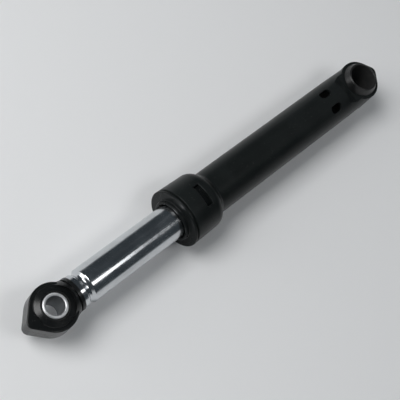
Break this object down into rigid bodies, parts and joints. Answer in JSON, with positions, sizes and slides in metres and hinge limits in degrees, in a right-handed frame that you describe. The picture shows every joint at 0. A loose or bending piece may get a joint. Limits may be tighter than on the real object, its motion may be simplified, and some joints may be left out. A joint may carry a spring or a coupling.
{
  "type": "washing machine shock absorber",
  "caption": "Telescopic friction damper for a washing machine's drum: black moulded housing with collar, bright steel plunger tube and an eye with bush at each end.",
  "frame": {"origin": "centre of the bore of the housing's eye", "axes": "+X along the damper to the plunger's eye, +Z along the bores of both eyes, +Y completes the right-handed set"},
  "size_m": [0.2766, 0.0352, 0.0352],
  "materials": {
    "housing_plastic": "satin moulded black",
    "cap_plastic": "satin moulded black",
    "eye_plastic": "semi-gloss moulded black",
    "ring_plastic": "natural bearing plastic",
    "bush_rubber": "smooth moulded rubber",
    "lining_foam": "greased open-cell foam",
    "plated_tube": "bright plated steel with fine draw lines",
    "plated_sleeve": "bright plated turned steel"
  },
  "bodies": {
    "housing": {"housing": "housing_plastic", "housing_eye_bush": "bush_rubber", "guide_cap": "cap_plastic", "friction_lining": "lining_foam"},
    "guide_ring": {"plunger_guide_ring": "ring_plastic"},
    "plunger": {"plunger_tube": "plated_tube", "plunger_eye": "eye_plastic", "plunger_eye_bush": "bush_rubber"},
    "sleeve": {"plunger_eye_sleeve": "plated_sleeve"}
  },
  "joints": [
    {"name": "plunger_slide", "type": "slide", "parent": "housing", "child": "guide_ring", "axis": [1, 0, 0], "range_m": [-0.072, 0.025]},
    {"name": "plunger_swivel", "type": "hinge", "parent": "guide_ring", "child": "plunger", "pos_m": [0.1106, 0, 0], "axis": [1, 0, 0], "continuous": true},
    {"name": "sleeve_twist", "type": "hinge", "parent": "plunger", "child": "sleeve", "pos_m": [0.245, 0, 0], "axis": [0, 0, 1], "range_deg": [-12, 12], "stiffness_Nm_per_rad": 3}
  ]
}
